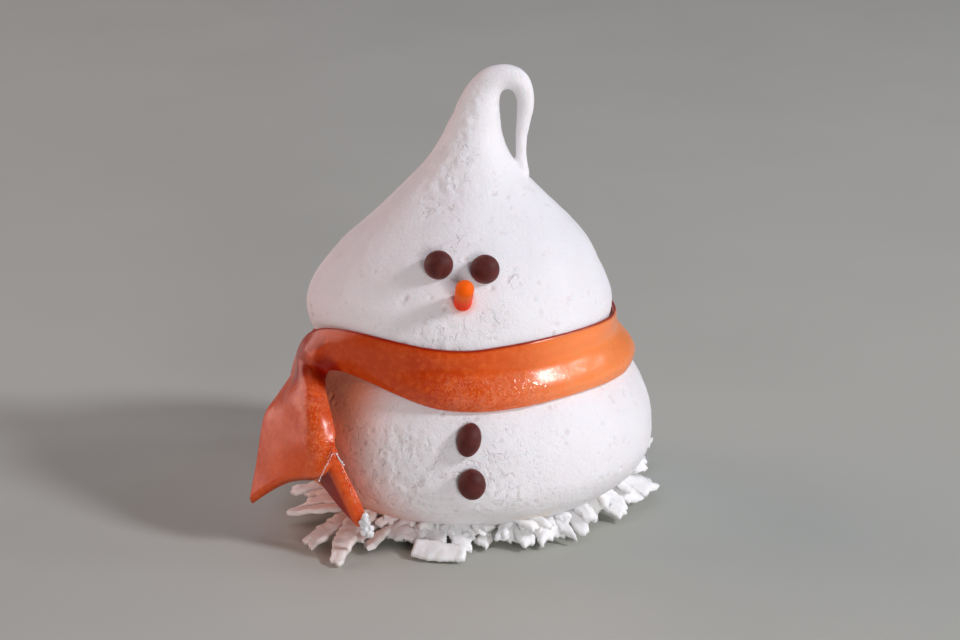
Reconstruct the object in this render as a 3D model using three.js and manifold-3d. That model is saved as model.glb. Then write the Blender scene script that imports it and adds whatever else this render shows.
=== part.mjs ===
// A snowman made of two meringue kisses, one on the other, with a candy scarf wound round the neck.
// Millimetres, +Z up. The origin is the centre of the flat underside, and the face looks along -Y.
import * as THREE from "three";
import { mergeVertices } from "three/addons/utils/BufferGeometryUtils.js";
import Module from "manifold-3d";

const wasm = await Module();
wasm.setup();

// Driving dimensions.
const HEIGHT = 62.6; // top of the hooked tip
const BODY_RADIUS = 25.8; // widest part of the lower kiss
const HEAD_RADIUS = 21.25; // widest part of the upper kiss
const NECK_HEIGHT = 24.5; // where the two kisses meet
const NECK_RADIUS = 18.2;
const HEAD_SHIFT = -1.2; // the head sits a little to the left of the body
const GAP = 0.3; // between pieces that touch
const BAND_THICKNESS = 0.9; // of the scarf round the neck
const TAIL_THICKNESS = 1.35; // of the tail that lies on the body
const BED_RADIUS = 16.0; // coconut packed under the body
const BED_HEIGHT = 3.4;
const EYE_RADIUS = 1.95;
const NOSE_RADIUS = 1.25;
const NOSE_LENGTH = 5.3;

const ROUND_STEPS = 44; // sides of the two kisses

const degrees = THREE.MathUtils.degToRad;
const { smoothstep, lerp } = THREE.MathUtils;

// ---------------------------------------------------------------- solids

// A closed three.js geometry as a solid that can be joined and cut.
function solid(geometry) {
  const bare = geometry.clone();
  bare.deleteAttribute("normal");
  bare.deleteAttribute("uv");
  const merged = mergeVertices(bare, 1e-4);
  return new wasm.Manifold(
    new wasm.Mesh({
      numProp: 3,
      vertProperties: new Float32Array(merged.attributes.position.array),
      triVerts: new Uint32Array(merged.index.array),
    }),
  );
}

function geometryOf(manifold) {
  const mesh = manifold.getMesh();
  const geometry = new THREE.BufferGeometry();
  geometry.setAttribute("position", new THREE.BufferAttribute(mesh.vertProperties, 3));
  geometry.setIndex(new THREE.BufferAttribute(mesh.triVerts, 1));
  geometry.computeVertexNormals();
  return geometry;
}

// Moves every vertex of a geometry by a function of its place.
function deform(geometry, move) {
  const position = geometry.attributes.position;
  const point = new THREE.Vector3();
  for (let i = 0; i < position.count; i++) {
    move(point.fromBufferAttribute(position, i));
    position.setXYZ(i, point.x, point.y, point.z);
  }
  return geometry;
}

// The same numbers at every run, from 0 to 1.
function seeded(seed) {
  let state = seed;
  return () => {
    state = (state * 1664525 + 1013904223) % 4294967296;
    return state / 4294967296;
  };
}

// A smooth line through [position, value] points, with positions that only rise.
function through(points) {
  return new THREE.SplineCurve(points.map(([t, value]) => new THREE.Vector2(t, value)));
}

// The value of such a line at a position.
function valueAt(line, t) {
  let low = 0;
  let high = 1;
  for (let i = 0; i < 30; i++) {
    const middle = (low + high) / 2;
    if (line.getPoint(middle).x < t) low = middle;
    else high = middle;
  }
  return line.getPoint(low).y;
}

// ---------------------------------------------------------------- the two kisses

// Radius by height.
const BODY_PROFILE = through([
  [2.0, 17.6],
  [3.9, 21.0],
  [6.3, 24.0],
  [9.0, 25.6],
  [11.5, BODY_RADIUS],
  [15.0, 25.2],
  [18.3, 23.9],
  [21.2, 21.9],
  [23.4, NECK_RADIUS + 1.4],
  [NECK_HEIGHT - GAP / 2, NECK_RADIUS],
]);

const HEAD_PROFILE = through([
  [NECK_HEIGHT + GAP / 2, NECK_RADIUS],
  [26.1, 20.3],
  [28.0, 21.1],
  [30.0, HEAD_RADIUS],
  [32.0, 20.7],
  [34.0, 19.7],
  [38.0, 16.9],
  [42.0, 12.9],
  [46.0, 8.8],
  [48.6, 6.5],
  [50.6, 5.2],
  [52.9, 4.15],
  [55.4, 3.3],
  [57.6, 2.6],
]);

// How far the head's axis stands to the right, by height: it leans towards its hook.
const HEAD_AXIS = through([
  [22, HEAD_SHIFT],
  [31, HEAD_SHIFT],
  [34, -0.9],
  [38, -0.2],
  [42, 0.1],
  [47, 0.05],
  [50, 0.3],
  [53, 0.6],
  [56, 1.2],
  [58, 1.7],
]);
const headAxis = (z) => valueAt(HEAD_AXIS, z);

// The low swells that piping leaves, away from the neck.
function swell(angle, z) {
  const wave = 0.14 * Math.sin(2 * angle + 0.11 * z + 0.7) + 0.1 * Math.sin(3 * angle - 0.23 * z);
  return wave * smoothstep(Math.abs(z - NECK_HEIGHT), 6, 11);
}

// A kiss, grown all over by `grow` where it is used to seat other pieces.
function kiss(line, axisAt, rings, grow = 0) {
  const [first, last] = [line.getPoint(0), line.getPoint(1)];
  const outline = [new THREE.Vector2(0, first.x - grow)];
  for (let i = 0; i <= rings; i++) {
    const point = line.getPoint(i / rings);
    outline.push(new THREE.Vector2(point.y + grow, point.x));
  }
  outline.push(new THREE.Vector2(0, last.x + grow));
  const lathe = new THREE.LatheGeometry(outline, ROUND_STEPS);
  lathe.rotateX(Math.PI / 2);
  return deform(lathe, (p) => {
    const radius = Math.hypot(p.x, p.y);
    const axis = axisAt(p.z);
    if (radius > 1e-6) {
      const wanted = radius + swell(Math.atan2(p.y, p.x), p.z) * Math.min(1, radius / HEAD_RADIUS);
      p.x *= wanted / radius;
      p.y *= wanted / radius;
    }
    p.x += axis;
  });
}

// The tip, drawn out to a string that bends over and sticks to the head again: x, z and radius.
const HOOK = [
  [0.7, 52.6, 3.2],
  [1.1, 55.4, 3.12],
  [1.6, 57.5, 2.74],
  [2.35, 59.2, 2.3],
  [3.5, HEIGHT - 2.2, 2.0],
  [5.2, HEIGHT - 1.75, 1.72],
  [6.8, HEIGHT - 2.4, 1.5],
  [7.65, 58.5, 1.22],
  [7.78, 56.6, 1.12],
  [7.5, 54.5, 0.94],
  [7.25, 52.2, 0.78],
  [7.25, 49.8, 0.72],
  [7.6, 47.0, 0.85],
];

// A round rod along a path whose radius changes on the way, with flat ends.
function taperedRod(points, steps, sides) {
  const curve = new THREE.CatmullRomCurve3(points.map(([x, z]) => new THREE.Vector3(x, 0, z)));
  const girth = through(points.map(([, , radius], i) => [i, radius]));
  const frames = curve.computeFrenetFrames(steps, false);
  const corners = [];
  for (let i = 0; i <= steps; i++) {
    const centre = curve.getPointAt(i / steps);
    const radius = girth.getPoint(curve.getUtoTmapping(i / steps)).y;
    for (let j = 0; j < sides; j++) {
      const turn = (j / sides) * 2 * Math.PI;
      const out = frames.normals[i].clone().multiplyScalar(Math.cos(turn));
      out.addScaledVector(frames.binormals[i], Math.sin(turn));
      corners.push(centre.clone().addScaledVector(out, radius));
    }
  }
  const faces = [];
  for (let i = 0; i < steps; i++) {
    for (let j = 0; j < sides; j++) {
      const a = i * sides + j;
      const b = i * sides + ((j + 1) % sides);
      faces.push(a, b, a + sides, b, b + sides, a + sides);
    }
  }
  const lastRing = steps * sides;
  for (let j = 1; j < sides - 1; j++) {
    faces.push(0, j + 1, j, lastRing, lastRing + j, lastRing + j + 1);
  }
  return indexed(corners, faces);
}

function indexed(corners, faces) {
  const geometry = new THREE.BufferGeometry().setFromPoints(corners);
  geometry.setIndex(faces);
  return geometry;
}

// ---------------------------------------------------------------- coconut

// A flake of coconut: a thin chip from its root, under the body or on other flakes, to its tip. Its two
// long edges are ragged, and its end is cut askew.
function flake({ root, tip, width, thickness, curl, roll, edges, skew }) {
  const start = new THREE.Vector3(...root);
  const along = new THREE.Vector3(...tip).sub(start);
  const length = along.length();
  along.normalize();
  const side = new THREE.Vector3(0, 0, 1).cross(along).normalize().applyAxisAngle(along, degrees(roll));
  const up = along.clone().cross(side);
  const steps = edges[0].length - 1;
  return deform(new THREE.BoxGeometry(1, 1, 1, steps, 1, 1), (p) => {
    const t = p.x + 0.5;
    const edge = edges[p.y > 0 ? 0 : 1][Math.round(t * steps)];
    const [across, out] = [p.y * width * edge, p.z * thickness];
    const reach = t * length + skew * 2 * p.y * t * t;
    p.copy(start).addScaledVector(along, reach);
    p.addScaledVector(side, across).addScaledVector(up, curl * 4 * t * (1 - t));
    p.z = Math.max(p.z, 0.6 * thickness);
    p.addScaledVector(up, out);
    p.z = Math.max(p.z, 0);
  });
}

// The flakes that show at the front, from left to right: root, tip, width, and turn about their length.
const FRONT_FLAKES = [
  [[-13.0, -2.7, 3.2], [-24.7, -5.0, 2.3], 2.6, 0],
  [[-12.5, -6.6, 3.1], [-22.6, -6.4, 2.4], 3.0, 0],
  [[-11.0, -9.7, 2.7], [-22.8, -9.0, 2.0], 2.4, 0],
  [[-10.0, -12.2, 3.0], [-24.9, -10.9, 1.6], 2.7, 0],
  [[-12.6, -8.6, 2.4], [-21.8, -20.6, 0.8], 3.2, 8],
  [[-13.8, -9.0, 2.9], [-17.9, -26.3, 0.6], 2.5, 8],
  [[-10.9, -9.6, 2.0], [-15.4, -20.2, 1.2], 2.8, 0],
  [[-8.9, -14.6, 2.3], [-13.6, -22.0, 0.9], 2.0, 12],
  [[-7.6, -16.0, 3.1], [-10.0, -20.2, 1.4], 2.6, 0],
  [[-5.2, -17.0, 3.2], [-7.4, -21.0, 1.3], 2.8, 0],
  [[-3.4, -17.5, 3.2], [-4.6, -22.6, 0.8], 3.0, 0],
  [[-0.8, -17.8, 3.2], [-1.0, -23.0, 0.8], 3.0, 0],
  [[3.1, -14.3, 2.0], [1.8, -20.8, 0.8], 2.0, 0],
  [[5.6, -17.1, 3.2], [6.2, -19.6, 0.9], 2.4, 8],
  [[6.6, -16.9, 3.2], [8.1, -21.4, 0.9], 2.4, 10],
  [[9.1, -15.7, 3.3], [10.7, -20.2, 1.0], 2.4, 10],
  [[10.6, -15.0, 3.3], [12.2, -18.4, 1.1], 2.0, 10],
  [[11.6, -14.2, 3.3], [13.9, -19.3, 1.2], 1.7, 15],
  [[13.1, -12.9, 3.4], [15.9, -17.8, 1.3], 2.0, 20],
  [[14.5, -11.6, 3.5], [16.4, -14.8, 1.8], 3.2, 30],
  [[16.0, -9.3, 3.5], [18.0, -12.3, 1.7], 2.8, 30],
  [[17.0, -7.5, 3.6], [19.9, -9.6, 2.0], 2.4, 30],
  [[17.2, -7.2, 3.6], [21.8, -10.5, 1.4], 3.4, 25],
  [[18.0, -5.0, 3.7], [23.4, -7.1, 1.7], 2.8, 20],
  [[18.6, -2.6, 3.8], [26.0, -4.2, 2.2], 2.8, 15],
  [[18.8, 0.9, 3.8], [25.4, 1.6, 3.9], 2.8, 60],
  [[18.3, 3.6, 3.7], [25.5, 5.6, 3.0], 2.4, 0],
  [[17.6, 6.6, 3.7], [26.7, 12.0, 3.2], 2.4, 10],
  // These lie across the others.
  [[-10.6, -18.2, 1.8], [-6.0, -20.9, 1.5], 2.6, 25],
  [[-7.3, -22.8, 1.2], [-0.1, -24.9, 1.2], 3.0, 28],
  [[-1.4, -21.0, 1.5], [3.0, -17.9, 2.1], 1.8, -20],
  [[-3.6, -17.8, 2.7], [-5.4, -20.1, 1.8], 1.5, 0],
];

const HIDDEN_FLAKES = 22; // round the right side, the back and the left side

function coconut() {
  const random = seeded(7);
  const between = (low, high) => lerp(low, high, random());
  const flakes = [...FRONT_FLAKES];
  for (let i = 0; i < HIDDEN_FLAKES; i++) {
    const angle = degrees(97 + ((i + between(-0.5, 0.5)) / HIDDEN_FLAKES) * 163);
    const tipAngle = angle + degrees(between(-15, 15));
    const [inner, outer] = [between(17.2, 18.4), between(21.0, 26.0)];
    flakes.push([
      [inner * Math.sin(angle), -inner * Math.cos(angle), between(2.8, 3.5)],
      [outer * Math.sin(tipAngle), -outer * Math.cos(tipAngle), between(0.7, 2.8)],
      between(1.8, 3.4),
      0,
    ]);
  }
  const raggedEdge = () => {
    return [1, between(0.85, 1.15), between(0.85, 1.2), between(0.85, 1.2), between(0.65, 1.0)];
  };
  return flakes.map(([root, tip, width, turn]) =>
    flake({
      root,
      tip,
      width,
      thickness: between(0.75, 1.1),
      curl: between(0, 0.5),
      roll: turn + between(-10, 10),
      edges: [raggedEdge(), raggedEdge()],
      skew: between(-0.8, 0.8),
    }),
  );
}

// ---------------------------------------------------------------- scarf

// The scarf is one strip of candy. It starts as the tail that lies on the body, climbs to the neck, goes
// round the back, the right and the front, folds down at the left and ends as the loose tail.
const ACROSS = 7; // points across the strip, from its upper edge to its lower one
const RIDGE_AT = 1 / 6; // where across the lower tail its ridge runs

// Radius of the strip's middle surface where it lies on the meringue, by height.
const WRAP_PROFILE = through([
  [0.0, 26.8],
  [4.0, 26.9],
  [8.0, 27.0],
  [12.0, 27.1],
  [15.0, 26.6],
  [18.3, 25.0],
  [20.0, 24.0],
  [21.2, 23.5],
  [22.3, 22.7],
  [23.2, 21.8],
  [24.2, 20.7],
  [25.0, 20.45],
  [26.2, 21.3],
  [27.6, 21.85],
  [29.4, 21.95],
  [30.4, 21.9],
]);

// Angles run from the face, positive to the right; the band takes them from -102 down to -405.
const BAND_FROM = -102;
const BAND_TO = -405;
const BAND_STEP = 15;
const BAND_UPPER_EDGE = through([
  [-405, 30.0],
  [-397, 30.1],
  [-362, 28.8],
  [-332, 29.5],
  [-305, 29.4],
  [-285, 28.6],
  [-262, 28.0],
  [-180, 28.8],
  [-125, 26.9],
  [-100, 25.6],
]);
const BAND_LOWER_EDGE = through([
  [-405, 23.7],
  [-392, 22.9],
  [-382, 21.9],
  [-371, 21.2],
  [-356, 20.95],
  [-317, 21.5],
  [-281, 20.9],
  [-180, 20.8],
  [-100, 20.2],
]);

// A point of the strip, by its angle and its height.
function onWrap(angle, z, lift = 0) {
  const radius = valueAt(WRAP_PROFILE, z) + lift;
  const axis = HEAD_SHIFT * smoothstep(z, 22, 26.5);
  const turn = degrees(angle);
  return new THREE.Vector3(axis + radius * Math.sin(turn), -radius * Math.cos(turn), z);
}

// A rib of the strip that lies on the meringue, from its upper edge to its lower one. Where it has a
// ridge, its narrow front side stands up from the meringue to the ridge, and its back falls away again.
function wrapRib([upperAngle, upperZ], [lowerAngle, lowerZ], lift = 0, ridge = 0) {
  return Array.from({ length: ACROSS }, (_, i) => {
    const v = i / (ACROSS - 1);
    const front = Math.min(v / RIDGE_AT, 1);
    const back = Math.max((v - RIDGE_AT) / (1 - RIDGE_AT), 0);
    const across = ridge > 0 ? 0.09 * front + 0.91 * back : v;
    const crest = ridge * (front - 1 + (1 - back) ** 1.4);
    return onWrap(lerp(upperAngle, lowerAngle, across), lerp(upperZ, lowerZ, across), lift + crest);
  });
}

// A rib that hangs free, through points from its outer edge to its inner one.
function freeRib(...points) {
  const curve = new THREE.CatmullRomCurve3(points.map((p) => new THREE.Vector3(...p)));
  return Array.from({ length: ACROSS }, (_, i) => curve.getPoint(i / (ACROSS - 1)));
}

// The tail that lies on the body: [angle, height] of its front and its rear edge and the height of the
// ridge along its front, from its end upwards.
const LOWER_TAIL = [
  [[-29.2, 4.4], [-47, 9.6], 0.8],
  [[-33.6, 8.6], [-53.5, 13.0], 1.0],
  [[-39.5, 13.2], [-62, 15.6], 0.9],
  [[-50, 18.0], [-71, 17.6], 0.4],
  [[-61, 21.2], [-81, 18.8], 0],
  [[-74, 23.8], [-91, 19.5], 0],
  [[-88, 25.1], [-99, 20.0], 0],
];

// The fold at the left, and the loose tail below it: four points of each rib, from outer to inner edge.
const LOOSE_TAIL = [
  [[-20.2, -11.9, 29.0], [-20.5, -13.4, 27.2], [-19.6, -14.3, 25.4], [-18.4, -14.4, 23.9]],
  [[-22.0, -9.4, 27.0], [-21.9, -12.7, 26.1], [-20.4, -14.8, 25.2], [-18.8, -14.6, 23.7]],
  [[-23.2, -8.5, 24.6], [-22.6, -11.1, 24.0], [-21.1, -12.9, 23.3], [-19.3, -13.9, 22.6]],
  [[-23.8, -8.9, 21.7], [-22.9, -11.9, 22.0], [-21.2, -14.8, 22.1], [-19.4, -14.6, 21.5]],
  [[-25.7, -9.6, 18.7], [-23.1, -13.3, 19.9], [-20.8, -17.3, 20.5], [-19.2, -15.8, 20.1]],
  [[-27.8, -10.6, 15.8], [-22.9, -14.9, 17.3], [-20.1, -19.7, 18.7], [-18.7, -17.6, 18.9]],
  [[-28.5, -12.4, 11.9], [-22.7, -16.8, 14.0], [-19.7, -22.1, 15.7], [-17.8, -20.7, 16.4]],
  [[-29.7, -14.9, 5.3], [-24.0, -18.7, 9.6], [-20.0, -22.8, 11.0], [-17.8, -22.9, 14.9]],
];

function scarfRibs() {
  const ribs = LOWER_TAIL.map(([upper, lower, ridge]) => wrapRib(upper, lower, 0, ridge));
  for (let angle = BAND_FROM; angle >= BAND_TO; angle -= BAND_STEP) {
    const [upper, lower] = [valueAt(BAND_UPPER_EDGE, angle), valueAt(BAND_LOWER_EDGE, angle)];
    const lift = 0.6 * smoothstep(-angle, 380, 405);
    ribs.push(wrapRib([angle, upper], [angle, lower], lift));
  }
  return [...ribs, ...LOOSE_TAIL.map((points) => freeRib(...points))];
}

// A closed sheet over a grid of ribs, as thick as thicknessAt(rib, v) says along and across it.
function sheet(ribs, thicknessAt, stepsPerRib) {
  const rows = (ribs.length - 1) * stepsPerRib;
  const rails = Array.from({ length: ACROSS }, (_, j) => {
    return new THREE.CatmullRomCurve3(ribs.map((rib) => rib[j]), false, "catmullrom", 0.5);
  });
  const grid = Array.from({ length: rows + 1 }, (_, i) => rails.map((rail) => rail.getPoint(i / rows)));
  const at = (i, j) => grid[Math.min(Math.max(i, 0), rows)][Math.min(Math.max(j, 0), ACROSS - 1)];
  const corners = [];
  for (const side of [0.5, -0.5]) {
    for (let i = 0; i <= rows; i++) {
      for (let j = 0; j < ACROSS; j++) {
        const along = at(i + 1, j).clone().sub(at(i - 1, j));
        const across = at(i, j + 1).clone().sub(at(i, j - 1));
        const out = along.cross(across).normalize();
        corners.push(at(i, j).clone().addScaledVector(out, side * thicknessAt(i / stepsPerRib, j / (ACROSS - 1))));
      }
    }
  }
  const behind = (rows + 1) * ACROSS;
  const faces = [];
  const quad = (a, b, c, d) => faces.push(a, b, c, a, c, d);
  for (let i = 0; i < rows; i++) {
    for (let j = 0; j < ACROSS - 1; j++) {
      const a = i * ACROSS + j;
      quad(a, a + ACROSS, a + ACROSS + 1, a + 1);
      quad(behind + a, behind + a + 1, behind + a + ACROSS + 1, behind + a + ACROSS);
    }
    const upper = i * ACROSS;
    const lower = upper + ACROSS - 1;
    quad(upper, behind + upper, behind + upper + ACROSS, upper + ACROSS);
    quad(lower, lower + ACROSS, behind + lower + ACROSS, behind + lower);
  }
  for (let j = 0; j < ACROSS - 1; j++) {
    const end = rows * ACROSS + j;
    quad(j, j + 1, behind + j + 1, behind + j);
    quad(end, behind + end, behind + end + 1, end + 1);
  }
  return indexed(corners, faces);
}

// ---------------------------------------------------------------- face and buttons

// Each piece sits on the meringue at an angle from the face and a height, and stands out by `proud`.
const FACE = {
  eye_left: { angle: -12.8, z: 38.6, proud: 0.8 },
  eye_right: { angle: 8.1, z: 38.2, proud: 0.8 },
  nose: { angle: 0.3, z: 34.8, proud: 0 },
};
const BUTTONS = {
  button_top: { angle: 0.4, z: 17.3, proud: 0.3, size: [1.6, 2.3, 1.6], lean: -12 },
  button_bottom: { angle: 1.2, z: 11.7, proud: 0.5, size: [1.85, 2.1, 1.7], lean: 8 },
};

// The place and the outward direction on a kiss, at an angle from the face and a height.
function seat(line, axisAt, { angle, z, proud }) {
  const turn = degrees(angle);
  const radius = valueAt(line, z);
  const slope = valueAt(line, z + 0.5) - valueAt(line, z - 0.5);
  const out = new THREE.Vector3(Math.sin(turn), -Math.cos(turn), -slope).normalize();
  const place = new THREE.Vector3(axisAt(z) + radius * Math.sin(turn), -radius * Math.cos(turn), z);
  return { place: place.addScaledVector(out, proud), out };
}

// Turns a geometry made along +Z so that +Z points out of the meringue, and moves it there.
function seated(geometry, { place, out }) {
  const turn = new THREE.Quaternion().setFromUnitVectors(new THREE.Vector3(0, 0, 1), out);
  return geometry.applyQuaternion(turn).translate(place.x, place.y, place.z);
}

function pearl([x, y, z], lean = 0) {
  const ball = new THREE.SphereGeometry(1, 16, 11);
  return ball.rotateX(Math.PI / 2).scale(x, y, z).rotateZ(degrees(lean));
}

// A short candy stick with a round tip, a little thinner in the middle.
function noseStick() {
  const outline = [new THREE.Vector2(0, -1.5)];
  for (let i = 0; i <= 5; i++) {
    const along = i / 5;
    const waist = 0.08 * Math.sin(Math.PI * along);
    outline.push(new THREE.Vector2(NOSE_RADIUS - waist, lerp(-1.5, NOSE_LENGTH - NOSE_RADIUS, along)));
  }
  for (let i = 1; i <= 4; i++) {
    const turn = (i / 4) * (Math.PI / 2);
    const radius = i === 4 ? 0 : NOSE_RADIUS * Math.cos(turn);
    outline.push(new THREE.Vector2(radius, NOSE_LENGTH - NOSE_RADIUS + NOSE_RADIUS * Math.sin(turn)));
  }
  return new THREE.LatheGeometry(outline, 16).rotateX(Math.PI / 2);
}

// ---------------------------------------------------------------- the snowman

const upright = () => 0;
const grownHead = solid(kiss(HEAD_PROFILE, headAxis, 26, GAP));
const grownBody = solid(kiss(BODY_PROFILE, upright, 18, GAP));

const headSolid = solid(kiss(HEAD_PROFILE, headAxis, 26)).add(
  solid(taperedRod(HOOK, 28, 12)),
);

const bed = new THREE.CylinderGeometry(BED_RADIUS, BED_RADIUS, BED_HEIGHT, 36)
  .rotateX(Math.PI / 2)
  .translate(0, 0, BED_HEIGHT / 2);
const bodySolid = wasm.Manifold.union([
  solid(kiss(BODY_PROFILE, upright, 18)),
  solid(bed),
  ...coconut().map(solid),
]);

// The band is thinner along its upper edge, which the head presses on.
function scarfThickness(rib, v) {
  const band = BAND_THICKNESS * lerp(0.62, 1, smoothstep(v, 0, 0.35));
  return lerp(TAIL_THICKNESS, band, smoothstep(rib, 2, 7));
}
const scarfSolid = solid(sheet(scarfRibs(), scarfThickness, 3));

const noseSeat = seat(HEAD_PROFILE, headAxis, FACE.nose);
noseSeat.out.set(0.07, -0.74, 0.67).normalize(); // the carrot points a little above the slope it stands on

const pieces = {
  meringue_body: bodySolid,
  meringue_head: headSolid,
  scarf: scarfSolid,
  nose: solid(seated(noseStick(), noseSeat)).subtract(grownHead),
};
for (const name of ["eye_left", "eye_right"]) {
  const ball = pearl([EYE_RADIUS, EYE_RADIUS, EYE_RADIUS]);
  pieces[name] = solid(seated(ball, seat(HEAD_PROFILE, headAxis, FACE[name]))).subtract(grownHead);
}
for (const [name, button] of Object.entries(BUTTONS)) {
  const dome = seated(pearl(button.size, button.lean), seat(BODY_PROFILE, upright, button));
  pieces[name] = solid(dome).subtract(grownBody);
}

const LOOKS = {
  meringue: { color: 0xf1ecea, roughness: 0.85 },
  candy: { color: 0xe2662a, roughness: 0.3 },
  carrot: { color: 0xf4641c, roughness: 0.35 },
  chocolate: { color: 0x43201c, roughness: 0.5 },
};
const LOOK_OF = {
  meringue_body: "meringue",
  meringue_head: "meringue",
  scarf: "candy",
  nose: "carrot",
};

const snowman = new THREE.Group();
for (const [name, piece] of Object.entries(pieces)) {
  const look = LOOKS[LOOK_OF[name] ?? "chocolate"];
  const mesh = new THREE.Mesh(geometryOf(piece), new THREE.MeshStandardMaterial(look));
  mesh.name = name;
  snowman.add(mesh);
}

export default snowman;
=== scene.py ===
"""A snowman of two meringue kisses with a candy scarf, dressed over its CAD frame.

Shapes are worked out in millimetres, in the CAD's frame, and turned into metres when a piece is made.
The face looks along -Y, and angles run from the face, positive towards +X.
"""

import math
import random

import bpy
import numpy as np
from mathutils import Matrix, Vector, kdtree


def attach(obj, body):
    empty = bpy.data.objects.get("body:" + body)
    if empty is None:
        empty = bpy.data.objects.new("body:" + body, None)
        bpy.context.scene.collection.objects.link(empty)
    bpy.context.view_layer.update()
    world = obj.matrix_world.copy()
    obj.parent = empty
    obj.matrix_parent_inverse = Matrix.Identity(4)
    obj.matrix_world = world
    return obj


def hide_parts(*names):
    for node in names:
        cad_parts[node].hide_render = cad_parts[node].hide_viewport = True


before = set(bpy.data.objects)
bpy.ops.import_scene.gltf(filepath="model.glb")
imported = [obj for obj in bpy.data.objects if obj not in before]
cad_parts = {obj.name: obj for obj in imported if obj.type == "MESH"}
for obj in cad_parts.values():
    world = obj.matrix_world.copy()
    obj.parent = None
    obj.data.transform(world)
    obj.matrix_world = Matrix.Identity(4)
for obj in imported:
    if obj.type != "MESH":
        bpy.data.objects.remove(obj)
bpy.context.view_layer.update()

BODY = "root"
MM = 0.001

# ---------------- camera

VIEW_DISTANCE = 373.3
VIEW_ELEVATION = math.radians(18.0)
VIEW_TARGET = Vector((1.61, 0.0, 26.1))
LENS = 100
SENSOR_WIDTH = 36

camera_data = bpy.data.cameras.new("camera")
camera_data.lens = LENS
camera_data.sensor_width = SENSOR_WIDTH
camera_data.clip_start = 0.01
camera = bpy.data.objects.new("camera", camera_data)
towards_camera = Vector((0, -math.cos(VIEW_ELEVATION), math.sin(VIEW_ELEVATION)))
camera.location = (VIEW_TARGET + towards_camera * VIEW_DISTANCE) * MM
camera.rotation_euler = (math.pi / 2 - VIEW_ELEVATION, 0, 0)
bpy.context.scene.collection.objects.link(camera)
bpy.context.scene.camera = camera


# ---------------- numbers and noise


def spline(points, t):
    """A smooth curve through the points, at places t that run from 0 to the last point's number."""
    points = np.asarray(points, float)
    t = np.asarray(t, float)
    i = np.clip(np.floor(t).astype(int), 0, len(points) - 2)
    f = (t - i).reshape(t.shape + (1,) * (points.ndim - 1))
    ends = np.concatenate([[2 * points[0] - points[1]], points, [2 * points[-1] - points[-2]]])
    a, b, c, d = ends[i], ends[i + 1], ends[i + 2], ends[i + 3]
    return 0.5 * (
        2 * b + (c - a) * f + (2 * a - 5 * b + 4 * c - d) * f**2 + (3 * b - a - 3 * c + d) * f**3
    )


def line(points):
    """A smooth function through [position, value] points."""
    dense = spline(points, np.linspace(0, len(points) - 1, 40 * len(points)))
    return lambda t: np.interp(t, dense[:, 0], dense[:, 1])


def smoothstep(x, low, high):
    """0 up to low, 1 from high on, and a smooth rise between them."""
    u = np.clip((np.asarray(x, float) - low) / (high - low), 0, 1)
    return u * u * (3 - 2 * u)


class Lcg:
    """The same seeded numbers as the CAD's, so that the flakes lie where its flakes do."""

    def __init__(self, seed):
        self.state = seed

    def between(self, low, high):
        self.state = (self.state * 1664525 + 1013904223) % 4294967296
        return low + (high - low) * self.state / 4294967296


# Keeps the noise's own grid away from the origin, and brings its height to about 1.
NOISE_OFFSET = 37.3
NOISE_GAIN = 1.6


def gradient_noise(points, size, seed):
    """Smooth noise from about -1 to 1 whose features are `size` across."""
    rng = np.random.default_rng(seed)
    order = rng.permutation(256)
    gradients = rng.normal(size=(256, 3))
    gradients /= np.linalg.norm(gradients, axis=1)[:, None]
    p = np.asarray(points, float) / size + NOISE_OFFSET
    cell = np.floor(p).astype(int)
    f = p - cell
    u = f * f * f * (f * (f * 6 - 15) + 10)
    total = np.zeros(len(p))
    for corner in np.ndindex(2, 2, 2):
        c = cell + corner
        h = order[(c[:, 0] + order[(c[:, 1] + order[c[:, 2] & 255]) & 255]) & 255]
        x, y, z = (u[:, k] if corner[k] else 1 - u[:, k] for k in range(3))
        total += x * y * z * (gradients[h] * (f - corner)).sum(1)
    return total * NOISE_GAIN


# ---------------- meshes


def mesh_from(points, faces, name="mesh"):
    mesh = bpy.data.meshes.new(name)
    mesh.from_pydata(np.asarray(points, float).tolist(), [], [list(map(int, f)) for f in faces])
    mesh.update()
    return mesh


def joined(parts):
    """Several (points, faces) as one."""
    points, faces, base = [], [], 0
    for p, f in parts:
        points.append(np.asarray(p, float))
        faces += [[base + k for k in face] for face in f]
        base += len(p)
    return np.concatenate(points), faces


def remeshed(points, faces, voxel, smoothing):
    """One even skin round closed shells that may cross each other."""
    holder = bpy.data.objects.new("holder", mesh_from(points, faces))
    bpy.context.scene.collection.objects.link(holder)
    remesh = holder.modifiers.new("remesh", "REMESH")
    remesh.mode = "VOXEL"
    remesh.voxel_size = voxel
    smooth = holder.modifiers.new("smooth", "SMOOTH")
    smooth.factor = 0.5
    smooth.iterations = smoothing
    graph = bpy.context.evaluated_depsgraph_get()
    mesh = bpy.data.meshes.new_from_object(holder.evaluated_get(graph))
    bpy.data.objects.remove(holder)
    return mesh


def places_of(mesh):
    co = np.empty(len(mesh.vertices) * 3, np.float32)
    mesh.vertices.foreach_get("co", co)
    return co.reshape(-1, 3).astype(float)


def normals_of(mesh):
    out = np.empty(len(mesh.vertices) * 3, np.float32)
    mesh.vertex_normals.foreach_get("vector", out)
    return out.reshape(-1, 3).astype(float)


def put_places(mesh, co):
    mesh.vertices.foreach_set("co", np.asarray(co, np.float32).ravel())
    mesh.update()


def mark(mesh, name, values):
    """Keeps a number for every vertex, which a material reads by name."""
    attribute = mesh.attributes.new(name, "FLOAT", "POINT")
    attribute.data.foreach_set("value", np.asarray(values, np.float32))


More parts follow.
